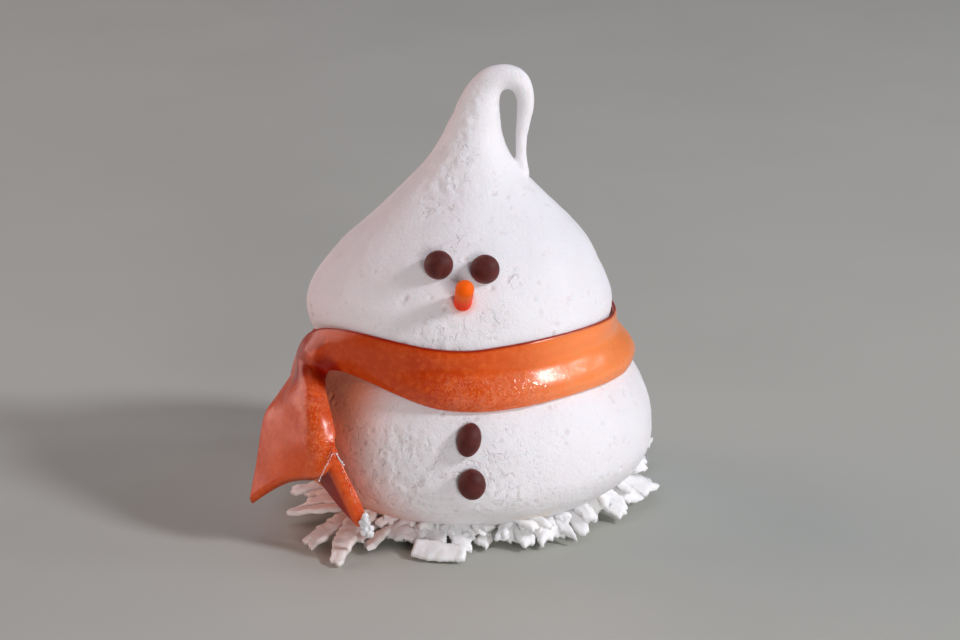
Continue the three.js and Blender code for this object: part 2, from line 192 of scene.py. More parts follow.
def piece(name, mesh, material, replaces=()):
    """A finished piece from a mesh in millimetres."""
    mesh.name = name
    mesh.transform(Matrix.Scale(MM, 4))
    mesh.shade_smooth()
    mesh.materials.clear()
    mesh.materials.append(material)
    made = bpy.data.objects.new(name, mesh)
    bpy.context.scene.collection.objects.link(made)
    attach(made, BODY)
    if replaces:
        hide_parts(*replaces)
    return made


def revolved(outline, sides):
    """A closed solid of revolution from (radius, height) points that start and end on the axis."""
    outline = np.asarray(outline, float)
    turn = np.arange(sides) / sides * 2 * math.pi
    rings = outline[1:-1]
    heights = np.repeat(rings[:, 1:], sides, 1)
    walls = np.stack([rings[:, :1] * np.cos(turn), rings[:, :1] * np.sin(turn), heights], -1)
    points = np.concatenate([[[0, 0, outline[0, 1]]], walls.reshape(-1, 3), [[0, 0, outline[-1, 1]]]])
    faces = []
    for j in range(sides):
        k = (j + 1) % sides
        faces.append([0, 1 + k, 1 + j])
        last = 1 + (len(rings) - 1) * sides
        faces.append([last + j, last + k, len(points) - 1])
        for i in range(len(rings) - 1):
            a = 1 + i * sides
            faces.append([a + j, a + k, a + sides + k, a + sides + j])
    return points, faces


def sheet_faces(rows, across):
    """The faces of a closed sheet whose upper grid comes first, and then its lower one."""
    below = rows * across
    faces = []
    for i in range(rows - 1):
        for j in range(across - 1):
            a = i * across + j
            faces.append([a, a + across, a + across + 1, a + 1])
            faces.append([below + a, below + a + 1, below + a + across + 1, below + a + across])
        a, b = i * across, i * across + across - 1
        faces.append([a, below + a, below + a + across, a + across])
        faces.append([b, b + across, below + b + across, below + b])
    for j in range(across - 1):
        end = (rows - 1) * across + j
        faces.append([j, j + 1, below + j + 1, below + j])
        faces.append([end, below + end, below + end + 1, end + 1])
    return faces


# ---------------- materials


class Nodes:
    """A material's node tree, with short calls for the nodes used here."""

    def __init__(self, name):
        self.material = bpy.data.materials.new(name)
        self.material.use_nodes = True
        self.tree = self.material.node_tree
        self.shader = self.tree.nodes["Principled BSDF"]
        self.coordinates = self.tree.nodes.new("ShaderNodeTexCoord").outputs["Object"]

    def add(self, kind, inputs=(), **settings):
        node = self.tree.nodes.new(kind)
        for key, value in settings.items():
            setattr(node, key, value)
        for key, value in dict(inputs).items():
            self.put(node.inputs[key], value)
        return node

    def put(self, socket, value):
        if isinstance(value, bpy.types.NodeSocket):
            self.tree.links.new(value, socket)
        else:
            socket.default_value = value

    def noise(self, size_mm, detail=2.0, roughness=0.5, distortion=0.0):
        inputs = {"Vector": self.coordinates, "Scale": 1000 / size_mm, "Detail": detail}
        inputs.update(Roughness=roughness, Distortion=distortion)
        return self.add("ShaderNodeTexNoise", inputs).outputs["Fac"]

    def cells(self, size_mm, output="Distance", **settings):
        inputs = {"Vector": self.coordinates, "Scale": 1000 / size_mm}
        return self.add("ShaderNodeTexVoronoi", inputs, **settings).outputs[output]

    def attribute(self, name):
        return self.add("ShaderNodeAttribute", attribute_name=name).outputs["Fac"]

    def ramp(self, value, low, high, start=0.0, end=1.0):
        inputs = {"Value": value, "From Min": low, "From Max": high, "To Min": start, "To Max": end}
        return self.add("ShaderNodeMapRange", inputs, clamp=True).outputs["Result"]

    def math(self, operation, a, b=0.0):
        return self.add("ShaderNodeMath", {0: a, 1: b}, operation=operation).outputs["Value"]

    def vector(self, operation, inputs):
        return self.add("ShaderNodeVectorMath", inputs, operation=operation).outputs[0]

    def mix(self, factor, a, b):
        """A mix of two colours, which are its inputs 6 and 7 and its output 2."""
        node = self.add("ShaderNodeMix", data_type="RGBA")
        self.put(node.inputs["Factor"], factor)
        self.put(node.inputs[6], a)
        self.put(node.inputs[7], b)
        return node.outputs[2]

    def bump(self, height, distance_mm, strength=1.0, normal=None):
        inputs = {"Height": height, "Distance": distance_mm * MM, "Strength": strength}
        if normal is not None:
            inputs["Normal"] = normal
        return self.add("ShaderNodeBump", inputs).outputs["Normal"]

    def finish(self, **inputs):
        for key, value in inputs.items():
            self.put(self.shader.inputs[key.replace("_", " ")], value)
        return self.material


MERINGUE_WHITES = (0.86, 0.84, 0.85, 1), (0.9, 0.887, 0.9, 1)
PIT_SHADE = (0.7, 0.63, 0.62, 1)
WRINKLE_SHADE = (0.66, 0.56, 0.5, 1)
SYRUP_ON_MERINGUE = (0.82, 0.62, 0.3, 1)
PAINTED_CANDY_LIGHT_ON_MERINGUE = (0.78, 0.21, 0.075, 1)


def meringue_material():
    """White and dry, with pores, wrinkles and pits, painted shade in the pits and wrinkles, a syrup stain,
    and painted orange light from the candy where it is marked.
    """
    n = Nodes("meringue")
    blotch = n.ramp(n.noise(9.0, 3), 0.35, 0.65)
    colour = n.mix(blotch, *MERINGUE_WHITES)
    pore = n.ramp(n.cells(0.42, feature="F1"), 0.0, 0.4)
    chosen = n.ramp(n.noise(1.6, 3, 0.6), 0.5, 0.66)
    pores = n.math("MULTIPLY", n.math("SUBTRACT", 1.0, pore), chosen)
    # Painted shade in the pits.
    colour = n.mix(n.attribute("pit"), colour, PIT_SHADE)
    colour = n.mix(n.attribute("syrup"), colour, SYRUP_ON_MERINGUE)
    # Painted orange light from the candy tails and nose, where the glow mark is.
    colour = n.mix(n.attribute("glow"), colour, PAINTED_CANDY_LIGHT_ON_MERINGUE)
    fine = n.bump(n.noise(0.18, 2, 0.7), 0.045)
    grain = n.bump(n.noise(0.55, 4, 0.65), 0.13, normal=fine)
    wrinkle = n.math("MULTIPLY", n.ramp(n.noise(1.0, 3, 0.6, 0.7), 0.55, 0.7), n.attribute("rough"))
    # Painted shade in the wrinkles.
    colour = n.mix(n.math("MULTIPLY", wrinkle, 0.14), colour, WRINKLE_SHADE)
    normal = n.bump(n.math("SUBTRACT", 1.0, pores), 0.08, normal=grain)
    normal = n.bump(n.math("SUBTRACT", 1.0, wrinkle), 0.14, normal=normal)
    return n.finish(
        Base_Color=colour,
        Normal=normal,
        Roughness=0.75,
        Specular_IOR_Level=0.3,
        Subsurface_Weight=0.25,
        Subsurface_Radius=(1.0, 0.72, 0.62),
        Subsurface_Scale=1.1 * MM,
    )


CANDY_ORANGES = (0.58, 0.05, 0.002, 1), (0.74, 0.093, 0.006, 1)
CANDY_MOTTLE = (0.82, 0.14, 0.022, 1)
CANDY_PAINTED_LIGHT = (1.0, 0.27, 0.075, 1)
CANDY_PAINTED_SHADE = (0.3, 0.007, 0.0005, 1)
CANDY_RIM = (0.3, 0.008, 0.002, 1)
CANDY_CRACK_AND_CREASE_SHADE = (0.16, 0.012, 0.006, 1)
CANDY_DUST = (1.0, 0.62, 0.42, 1)
DUST_SIZE = 0.15


def candy_material():
    """Dried fruit candy: mottled, glowing from inside, glossy, with a dust of sugar, and with painted light
    and painted shade where it is marked.
    """
    n = Nodes("candy")
    colour = n.mix(n.ramp(n.noise(8.0, 3, 0.55), 0.34, 0.66), *CANDY_ORANGES)
    colour = n.mix(n.ramp(n.noise(0.8, 3, 0.6), 0.45, 0.8), colour, CANDY_MOTTLE)
    # Painted light: the right side, which faces the key light, is paler.
    colour = n.mix(n.attribute("pale"), colour, CANDY_PAINTED_LIGHT)
    # Painted shade in the hollow, behind the lower tail's ridge, on the dome and at the left.
    colour = n.mix(n.attribute("deep"), colour, CANDY_PAINTED_SHADE)
    colour = n.mix(n.attribute("rim"), colour, CANDY_RIM)
    # Dark lines on the fine cracks, and painted shade in the fold's valley.
    colour = n.mix(n.attribute("crack"), colour, CANDY_CRACK_AND_CREASE_SHADE)
    # The dust is fine flakes, each turned its own way, that sparkle round the highlights.
    dust = n.cells(DUST_SIZE, "Color", feature="F1")
    share = n.ramp(n.noise(2.6, 2), 0.35, 0.6, 0.8, 0.35)
    drawn = n.add("ShaderNodeSeparateColor", {"Color": dust}).outputs[0]
    chosen = n.math("GREATER_THAN", drawn, share)
    chosen = n.math("MULTIPLY", chosen, n.attribute("dusty"))
    chosen = n.math("MULTIPLY", chosen, n.ramp(n.attribute("deep"), 0.0, 0.6, 1.0, 0.0))
    colour = n.mix(n.math("MULTIPLY", chosen, 0.14), colour, CANDY_DUST)
    smooth = n.bump(n.noise(1.8, 3), 0.06)
    turned = n.vector("SUBTRACT", {0: dust, 1: (0.5, 0.5, 0.5)})
    scale = n.math("MULTIPLY", chosen, n.ramp(n.attribute("pale"), 0.4, 1.0, 0.42, 0.16))
    turned = n.vector("SCALE", {0: turned, "Scale": scale})
    tilted = n.vector("ADD", {0: smooth, 1: turned})
    normal = n.vector("NORMALIZE", {0: tilted})
    dull = n.ramp(n.noise(2.4, 3), 0.3, 0.7, 0.27, 0.35)
    return n.finish(
        Base_Color=colour,
        Normal=normal,
        Roughness=n.math("SUBTRACT", dull, n.math("MULTIPLY", chosen, 0.15)),
        IOR=1.45,
        Specular_IOR_Level=0.55,
        Coat_Weight=0.3,
        Coat_Roughness=0.2,
        Specular_Tint=(1.0, 0.8, 0.7, 1),
        Subsurface_Weight=0.25,
        Subsurface_Radius=(1.0, 0.1, 0.02),
        Subsurface_Scale=1.2 * MM,
    )


CHOCOLATES = (0.066, 0.0125, 0.0105, 1), (0.11, 0.025, 0.021, 1)
COCOA_BLOOM = (0.5, 0.36, 0.33, 1)


def pearl_material():
    """Dull chocolate with specks of pale bloom."""
    n = Nodes("chocolate")
    colour = n.mix(n.ramp(n.noise(1.2, 3), 0.35, 0.7), *CHOCOLATES)
    dust = n.ramp(n.cells(0.22, feature="F1"), 0.0, 0.1, 1.0, 0.0)
    dusty = n.math("MULTIPLY", dust, n.ramp(n.noise(1.0, 2), 0.52, 0.6))
    colour = n.mix(n.math("MULTIPLY", dusty, 0.35), colour, COCOA_BLOOM)
    normal = n.bump(n.noise(0.4, 3, 0.6), 0.03)
    normal = n.bump(n.noise(1.8, 2), 0.1, normal=normal)
    return n.finish(
        Base_Color=colour,
        Normal=normal,
        Roughness=n.ramp(n.noise(0.9, 2), 0.3, 0.7, 0.52, 0.64),
        Specular_IOR_Level=0.3,
        Sheen_Weight=0.2,
        Sheen_Roughness=0.5,
        Sheen_Tint=(0.8, 0.25, 0.2, 1),
    )


NOSE_ORANGES = (1.0, 0.04, 0.001, 1), (1.0, 0.14, 0.005, 1)
NOSE_MOTTLE = (1.0, 0.22, 0.02, 1)


def carrot_material():
    """The nose's candy, redder at its root and lighter at its tip."""
    n = Nodes("carrot")
    colour = n.mix(n.attribute("along"), *NOSE_ORANGES)
    colour = n.mix(n.ramp(n.noise(0.7, 2), 0.5, 0.8, 0.0, 0.3), colour, NOSE_MOTTLE)
    return n.finish(
        Base_Color=colour,
        Normal=n.bump(n.noise(0.6, 2), 0.02),
        Roughness=0.5,
        Specular_IOR_Level=0.15,
        Subsurface_Weight=0.4,
        Subsurface_Radius=(1.0, 0.12, 0.02),
        Subsurface_Scale=1.4 * MM,
    )


COCONUT_WHITES = (0.92, 0.91, 0.89, 1), (0.98, 0.975, 0.97, 1)
SYRUP_ON_COCONUT = (0.86, 0.7, 0.36, 1)
PAINTED_CANDY_LIGHT_ON_COCONUT = (0.72, 0.42, 0.3, 1)


def coconut_material():
    """White and fibrous, stained by syrup, and with painted orange light from the candy tails where it is
    marked.
    """
    n = Nodes("coconut")
    colour = n.mix(n.ramp(n.noise(2.2, 3), 0.35, 0.7), *COCONUT_WHITES)
    colour = n.mix(n.attribute("syrup"), colour, SYRUP_ON_COCONUT)
    # Painted orange light from the candy tails.
    colour = n.mix(n.attribute("glow"), colour, PAINTED_CANDY_LIGHT_ON_COCONUT)
    fibre = n.bump(n.noise(0.2, 3, 0.7), 0.05)
    return n.finish(
        Base_Color=colour,
        Normal=n.bump(n.noise(0.7, 3, 0.6), 0.1, normal=fibre),
        Roughness=0.55,
        Specular_IOR_Level=0.4,
        Subsurface_Weight=0.35,
        Subsurface_Radius=(1.0, 0.85, 0.75),
        Subsurface_Scale=1.2 * MM,
    )


SUGAR_WHITES = (0.86, 0.84, 0.84, 1), (0.97, 0.96, 0.97, 1)


def sugar_material():
    n = Nodes("sugar")
    return n.finish(
        Base_Color=n.mix(n.noise(0.6), *SUGAR_WHITES),
        Normal=n.bump(n.noise(0.25, 2), 0.05),
        Roughness=0.35,
        Subsurface_Weight=0.5,
        Subsurface_Radius=(1.0, 0.9, 0.85),
        Subsurface_Scale=0.5 * MM,
    )


# ---------------- the two kisses

HEIGHT = 62.6
NECK_HEIGHT = 24.5
NECK_RADIUS = 18.2
HEAD_RADIUS = 21.25
HEAD_SHIFT = -1.2
GAP = 0.3

# Height and radius, from below.
BODY_PROFILE = [
    [2.0, 17.6], [3.9, 21.0], [6.3, 24.0], [9.0, 25.6], [11.5, 25.8], [15.0, 25.2], [18.3, 23.9],
    [21.2, 21.9], [23.4, NECK_RADIUS + 1.4], [NECK_HEIGHT - GAP / 2, NECK_RADIUS],
]
HEAD_PROFILE = [
    [NECK_HEIGHT + GAP / 2, NECK_RADIUS], [26.1, 20.3], [28.0, 21.1], [30.0, HEAD_RADIUS],
    [32.0, 20.7], [34.0, 19.7], [38.0, 16.9], [42.0, 12.9], [46.0, 8.8], [48.6, 6.5], [50.6, 5.2],
    [52.9, 4.15], [55.4, 3.3], [57.6, 2.6],
]
# The height and how far the head leans to +X there.
head_axis = line([
    [22, HEAD_SHIFT], [31, HEAD_SHIFT], [34, -0.9], [38, -0.2], [42, 0.1], [47, 0.05],
    [50, 0.3], [53, 0.6], [56, 1.2], [58, 1.7],
])
# The string's middle line, as x and z, and its radius.
HOOK = [
    [0.7, 52.6, 3.2], [1.1, 55.4, 3.12], [1.6, 57.5, 2.74], [2.35, 59.2, 2.3],
    [3.5, HEIGHT - 2.2, 2.0], [5.2, HEIGHT - 1.75, 1.72], [6.8, HEIGHT - 2.4, 1.5],
    [7.65, 58.5, 1.22], [7.78, 56.6, 1.12], [7.5, 54.5, 0.94], [7.25, 52.2, 0.78],
    [7.25, 49.8, 0.72], [7.6, 47.0, 0.85],
]


def upright(z):
    """The axis of a kiss that doesn't lean."""
    return np.zeros_like(z)


def kiss(profile, axis, rings, sides):
    """A kiss with the low swells that piping leaves, away from the neck."""
    rows = spline(profile, np.linspace(0, len(profile) - 1, rings))
    outline = [[0, rows[0, 0]], *rows[:, ::-1].tolist(), [0, rows[-1, 0]]]
    points, faces = revolved(outline, sides)
    angle = np.arctan2(points[:, 1], points[:, 0])
    radius = np.hypot(points[:, 0], points[:, 1])
    z = points[:, 2]
    wave = 0.14 * np.sin(2 * angle + 0.11 * z + 0.7) + 0.1 * np.sin(3 * angle - 0.23 * z)
    wave *= smoothstep(np.abs(z - NECK_HEIGHT), 6, 11) * np.minimum(1, radius / HEAD_RADIUS)
    points[:, 0] = points[:, 0] + wave * np.cos(angle) + axis(z)
    points[:, 1] = points[:, 1] + wave * np.sin(angle)
    return points, faces


def hook(steps, sides):
    """The string that the tip is drawn out to, bent over in the plane y = 0."""
    t = np.linspace(0, len(HOOK) - 1, steps)
    x, z, radius = spline(HOOK, t).T
    heading = np.stack([np.gradient(x), np.gradient(z)], 1)
    heading /= np.linalg.norm(heading, axis=1)[:, None]
    turn = np.arange(sides) / sides * 2 * math.pi
    across, deep = radius[:, None] * np.cos(turn), radius[:, None] * np.sin(turn)
    rings = [x[:, None] + across * heading[:, 1:], deep, z[:, None] - across * heading[:, :1]]
    points = np.stack(rings, -1).reshape(-1, 3)
    faces = []
    for i in range(steps - 1):
        for j in range(sides):
            a, b = i * sides + j, i * sides + (j + 1) % sides
            faces.append([a, b, b + sides, a + sides])
    faces.append(list(range(sides))[::-1])
    faces.append([(steps - 1) * sides + j for j in range(sides)])
    return points, faces


def surface(profile, axis, angle, z):
    """The place and the outward direction on a kiss, at an angle from the face and a height."""
    radius_at = line(profile)
    radius, slope = radius_at(z), radius_at(z + 0.5) - radius_at(z - 0.5)
    turn = math.radians(angle)
    out = Vector((math.sin(turn), -math.cos(turn), -slope)).normalized()
    return Vector((axis(z) + radius * math.sin(turn), -radius * math.cos(turn), z)), out


# A pit's lip: its place and reach in the pit's radii, and its height as a share of the depth.
LIP_AT = 1.2
LIP_REACH = 0.3
LIP_HEIGHT = 0.12


def dimpled(places, centres, radii, depths):
    """How far each vertex sinks into round pits with a faint lip, and how deep in one it is, from 0 to 1."""
    tree = kdtree.KDTree(len(places))
    for i, p in enumerate(places):
        tree.insert(p, i)
    tree.balance()
    move = np.zeros(len(places))
    inside = np.zeros(len(places))
    for centre, radius, depth in zip(centres, radii, depths):
        for _, i, distance in tree.find_range(places[centre], radius * (LIP_AT + LIP_REACH)):
            u = distance / radius
            if u < 1:
                move[i] = min(move[i], -depth * (1 - u * u) ** 2)
                inside[i] = max(inside[i], (1 - u * u) ** 2)
            elif abs(u - LIP_AT) < LIP_REACH:
                move[i] += depth * LIP_HEIGHT * (1 - ((u - LIP_AT) / LIP_REACH) ** 2)
    return move, inside


def near(places, spot, reach):
    """1 at a spot, falling smoothly to 0 at its reach."""
    return 1 - smoothstep(np.linalg.norm(places - spot, axis=1), reach * 0.35, reach)


# The height and the size of the unevenness that the whole skin has.
SWELLS = [(0.16, 7.0), (0.045, 2.2), (0.02, 0.9)]
CRUMB_HEIGHT = 0.2
CRUMB_SINK = 0.04
SMALLEST_PIT = 0.2
PIT_SPREAD = 0.45
PIT_DEPTHS = (0.16, 0.42)


def dry_skin(mesh, seed, rough, wrinkled, pits, low, high):
    """The relief of baked meringue: unevenness, crumbs where it is rough, and pits between two heights."""
    places, normals = places_of(mesh), normals_of(mesh)
    move = sum(height * gradient_noise(places, size, seed + k) for k, (height, size) in enumerate(SWELLS))
    lumps = gradient_noise(places, 1.5, seed + 3) + 0.6 * gradient_noise(places, 0.8, seed + 4)
    move += np.clip(rough(places), 0, 1) * (CRUMB_HEIGHT * lumps - CRUMB_SINK)
    wanted = np.flatnonzero((places[:, 2] > low) & (places[:, 2] < high))
    centres = np.random.default_rng(seed + 6).choice(wanted, min(pits, len(wanted)), replace=False)
    rng = np.random.default_rng(seed + 5)
    radii = SMALLEST_PIT + PIT_SPREAD * rng.random(len(centres)) ** 4
    depths = radii * rng.uniform(*PIT_DEPTHS, len(centres))
    sink, inside = dimpled(places, centres, radii, depths)
    put_places(mesh, places + normals * (move + sink)[:, None])
    # How deep in a pit each vertex lies, which the material darkens as painted shade.
    mark(mesh, "pit", 0.4 * inside)
    mark(mesh, "rough", np.clip(wrinkled(places), 0, 1))
    return places


def head_rough(p):
    """Where crumbs stick out: on a strip that winds up the tip, and on the chin."""
    angle = np.degrees(np.arctan2(p[:, 0] - head_axis(p[:, 2]), -p[:, 1]))
    strip = np.exp(-(((angle + 24 - 0.8 * (p[:, 2] - 50)) / 26) ** 2))
    up_the_tip = strip * smoothstep(p[:, 2], 43, 47.5) * (1 - smoothstep(p[:, 2], 58.5, 60.5))
    chin = 0.55 * near(p, (-3.2, -20.4, 31.0), 4.5) + 0.4 * near(p, (-6.5, -19.5, 31.2), 4.0)
    return 0.9 * up_the_tip + chin


def body_rough(p):
    """Where crumbs stick out, on the front."""
    front = 0.55 * near(p, (-8.0, -23.5, 14.0), 8.0) + 0.5 * near(p, (2.5, -25.4, 8.5), 7.0)
    return front + 0.4 * near(p, (-11.0, -22.0, 8.0), 8.0)


# Places with fine wrinkles and torn pits, and how far they reach.
HEAD_WRINKLES = [
    ((-3.5, -20.0, 30.2), 5.5),
    ((-1.5, -4.5, 50.5), 5.0),
    ((6.0, -17.0, 37.5), 3.0),
    ((-2.0, -14.5, 42.0), 3.5),
    ((-4.5, -9.0, 46.0), 4.5),
    ((3.0, -20.0, 32.0), 3.5),
]


def head_wrinkled(p):
    return sum(near(p, np.array(place), reach) for place, reach in HEAD_WRINKLES)


def body_wrinkled(p):
    """The front and left of the body's lower half."""
    angle = np.degrees(np.arctan2(p[:, 0], -p[:, 1]))
    across = smoothstep(angle, -62, -40) * (1 - smoothstep(angle, 10, 42))
    return 0.85 * across * smoothstep(p[:, 2], 4, 8) * (1 - smoothstep(p[:, 2], 15, 20.5))


def painted_candy_glow(p):
    """Where painted orange light from the candy tails falls on what lies beside them."""
    angle = np.degrees(np.arctan2(p[:, 0], -p[:, 1]))
    reach = 12 * (1 - smoothstep(p[:, 2], 6, 15))
    beside = 1 - smoothstep(angle, -45, -18 + reach)
    return 0.9 * beside**1.3 * smoothstep(angle, -95, -62) * (1 - smoothstep(p[:, 2], 22, 25))


HEAD_SEED, HEAD_PITS = 11, 420
BODY_SEED, BODY_PITS = 31, 900
NOSE_ANGLE, NOSE_HEIGHT = 0.3, 34.8


def make_head(material):
    shells = joined([kiss(HEAD_PROFILE, head_axis, 90, 128), hook(90, 32)])
    mesh = remeshed(*shells, 0.25, 5)
    places = dry_skin(mesh, HEAD_SEED, head_rough, head_wrinkled, HEAD_PITS, 27, 50)
    mark(mesh, "syrup", np.zeros(len(places)))
    nose_root, _ = surface(HEAD_PROFILE, head_axis, NOSE_ANGLE, NOSE_HEIGHT)
    # Painted orange light from the candy nose, round its root.
    mark(mesh, "glow", 0.6 * near(places, np.array(nose_root), 2.3))
    return piece("head_skin", mesh, material, ["meringue_head"])


def make_body(material):
    mesh = remeshed(*kiss(BODY_PROFILE, upright, 80, 160), 0.26, 4)
    places = dry_skin(mesh, BODY_SEED, body_rough, body_wrinkled, BODY_PITS, 3, 22)
    low = 1 - smoothstep(places[:, 2], 3.2, 6.4)
    patches = smoothstep(gradient_noise(places, 4.5, 41), 0.1, 0.55)
    mark(mesh, "syrup", 0.75 * low * patches * smoothstep(places[:, 0], -2, 5))
    # Painted orange light from the candy tails.
    mark(mesh, "glow", painted_candy_glow(places))
    return piece("body_skin", mesh, material, ["meringue_body"])


# ---------------- coconut

# Each front flake's root, tip, width and roll, as in the CAD.
FRONT_FLAKES = [
    [[-13.0, -2.7, 3.2], [-24.7, -5.0, 2.3], 2.6, 0],
    [[-12.5, -6.6, 3.1], [-22.6, -6.4, 2.4], 3.0, 0],
    [[-11.0, -9.7, 2.7], [-22.8, -9.0, 2.0], 2.4, 0],
    [[-10.0, -12.2, 3.0], [-24.9, -10.9, 1.6], 2.7, 0],
    [[-12.6, -8.6, 2.4], [-21.8, -20.6, 0.8], 3.2, 8],
    [[-13.8, -9.0, 2.9], [-17.9, -26.3, 0.6], 2.5, 8],
    [[-10.9, -9.6, 2.0], [-15.4, -20.2, 1.2], 2.8, 0],
    [[-8.9, -14.6, 2.3], [-13.6, -22.0, 0.9], 2.0, 12],
    [[-7.6, -16.0, 3.1], [-10.0, -20.2, 1.4], 2.6, 0],
    [[-5.2, -17.0, 3.2], [-7.4, -21.0, 1.3], 2.8, 0],
    [[-3.4, -17.5, 3.2], [-4.6, -22.6, 0.8], 3.0, 0],
    [[-0.8, -17.8, 3.2], [-1.0, -23.0, 0.8], 3.0, 0],
    [[3.1, -14.3, 2.0], [1.8, -20.8, 0.8], 2.0, 0],
    [[5.6, -17.1, 3.2], [6.2, -19.6, 0.9], 2.4, 8],
    [[6.6, -16.9, 3.2], [8.1, -21.4, 0.9], 2.4, 10],
    [[9.1, -15.7, 3.3], [10.7, -20.2, 1.0], 2.4, 10],
    [[10.6, -15.0, 3.3], [12.2, -18.4, 1.1], 2.0, 10],
    [[11.6, -14.2, 3.3], [13.9, -19.3, 1.2], 1.7, 15],
    [[13.1, -12.9, 3.4], [15.9, -17.8, 1.3], 2.0, 20],
    [[14.5, -11.6, 3.5], [16.4, -14.8, 1.8], 3.2, 30],
    [[16.0, -9.3, 3.5], [18.0, -12.3, 1.7], 2.8, 30],
    [[17.0, -7.5, 3.6], [19.9, -9.6, 2.0], 2.4, 30],
    [[17.2, -7.2, 3.6], [21.8, -10.5, 1.4], 3.4, 25],
    [[18.0, -5.0, 3.7], [23.4, -7.1, 1.7], 2.8, 20],
    [[18.6, -2.6, 3.8], [26.0, -4.2, 2.2], 2.8, 15],
    [[18.8, 0.9, 3.8], [25.4, 1.6, 3.9], 2.8, 60],
    [[18.3, 3.6, 3.7], [25.5, 5.6, 3.0], 2.4, 0],
    [[17.6, 6.6, 3.7], [26.7, 12.0, 3.2], 2.4, 10],
    # These lie across the others.
    [[-10.6, -18.2, 1.8], [-6.0, -20.9, 1.5], 2.6, 25],
    [[-7.3, -22.8, 1.2], [-0.1, -24.9, 1.2], 3.0, 28],
    [[-1.4, -21.0, 1.5], [3.0, -17.9, 2.1], 1.8, -20],
    [[-3.6, -17.8, 2.7], [-5.4, -20.1, 1.8], 1.5, 0],
]
HIDDEN_FLAKES = 22
HIDDEN_FROM, HIDDEN_SPAN = 97, 163
BROKEN_BITS = 80
CLINGING_LUMPS = 26
# The bits lie all round but for the far left, where there are only long flakes.
BITS_FROM, BITS_TO = -55, 262
# In this gap in front, only long flakes show.
BARE_FROM, BARE_TO = 6, 15
BED_RADIUS = 16.0
BED_HEIGHT = 3.3


def flake(root, tip, width, thickness, curl, roll, edges, skew, seed):
    """A chip of coconut from its root, under the body or on other flakes, to its tip, all of it ragged."""
    start = np.array(root, float)
    along = np.array(tip, float) - start
    length = np.linalg.norm(along)
    along /= length
    side = np.cross([0, 0, 1], along)
    side /= np.linalg.norm(side)
    side = np.array(Matrix.Rotation(math.radians(roll), 3, Vector(along)) @ Vector(side))
    up = np.cross(along, side)
    rows, across = max(8, int(length / 0.36)), max(7, int(width / 0.3))
    t, v = np.meshgrid(np.linspace(0, 1, rows), np.linspace(-0.5, 0.5, across), indexing="ij")
    t, v = t.ravel(), v.ravel()
    knots = np.linspace(0, 1, len(edges[0]))
    edge = np.where(v > 0, np.interp(t, knots, edges[0]), np.interp(t, knots, edges[1]))
    spot = np.stack([t * length, v * width, 0 * t], 1) + 13.7 * seed
    rag = 0.38 * gradient_noise(spot, 1.2, 70) + 0.26 * gradient_noise(spot, 0.55, 71)
    sideways = v * width * edge + rag * np.sign(v) * smoothstep(np.abs(v), 0.2, 0.5)
    torn = 0.7 * gradient_noise(spot, 1.1, 72) + 0.3 * gradient_noise(spot, 0.5, 73)
    reach = t * length + skew * 2 * v * t * t + torn * smoothstep(t, 0.75, 1)
    bow = curl * 4 * t * (1 - t) + 0.2 * gradient_noise(spot, 2.0, 74)
    middle = start + reach[:, None] * along + sideways[:, None] * side + bow[:, None] * up
    middle[:, 2] = np.maximum(middle[:, 2], 0.55 * thickness)
    rim = (1 - np.abs(v * 2) ** 6) * (1 - smoothstep(t, 0.94, 1))
    half = 0.5 * thickness * (0.55 + 0.45 * rim) * (1 + 0.35 * gradient_noise(spot, 0.8, 75))
    points = np.concatenate([middle + up * half[:, None], middle - up * half[:, None]])
    points[:, 2] = np.maximum(points[:, 2], 0.0)
    return points, sheet_faces(rows, across)


def around(inner, outer, angle, tip_angle, low, high, width):
    """A flake's root, tip and width, from places round the foot."""
    a, b = math.radians(angle), math.radians(tip_angle)
    root = [inner * math.sin(a), -inner * math.cos(a), low]
    return [root, [outer * math.sin(b), -outer * math.cos(b), high], width]


def long_flakes():
    """The flakes that the solids have too, drawn in the same order as there."""
    draw = Lcg(7)
    listed = list(FRONT_FLAKES)
    for i in range(HIDDEN_FLAKES):
        angle = HIDDEN_FROM + (i + draw.between(-0.5, 0.5)) / HIDDEN_FLAKES * HIDDEN_SPAN
        tip_angle = angle + draw.between(-15, 15)
        inner, outer = draw.between(17.2, 18.4), draw.between(21.0, 26.0)
        low, high = draw.between(2.8, 3.5), draw.between(0.7, 2.8)
        listed.append(around(inner, outer, angle, tip_angle, low, high, draw.between(1.8, 3.4)) + [0])
    spans = [(0.85, 1.15), (0.85, 1.2), (0.85, 1.2), (0.65, 1.0)]
    made = []
    for n, (root, tip, width, turn) in enumerate(listed):
        thickness, curl, roll = draw.between(0.75, 1.1), draw.between(0, 0.5), turn + draw.between(-10, 10)
        edges = [[1] + [draw.between(*span) for span in spans] for _ in range(2)]
        made.append(flake(root, tip, width, thickness, curl, roll, edges, draw.between(-0.8, 0.8), n))
    return made


def drawn_bit(rng, place, edge, thickness, curl, roll, skew, seed):
    """A flake at a place from around(), whose shape is drawn between the given ends."""
    edges = [[1] + [rng.uniform(*edge) for _ in range(4)] for _ in range(2)]
    shape = [rng.uniform(*thickness), rng.uniform(0, curl), rng.uniform(-roll, roll)]
    return flake(*place, *shape, edges, rng.uniform(-skew, skew), seed)


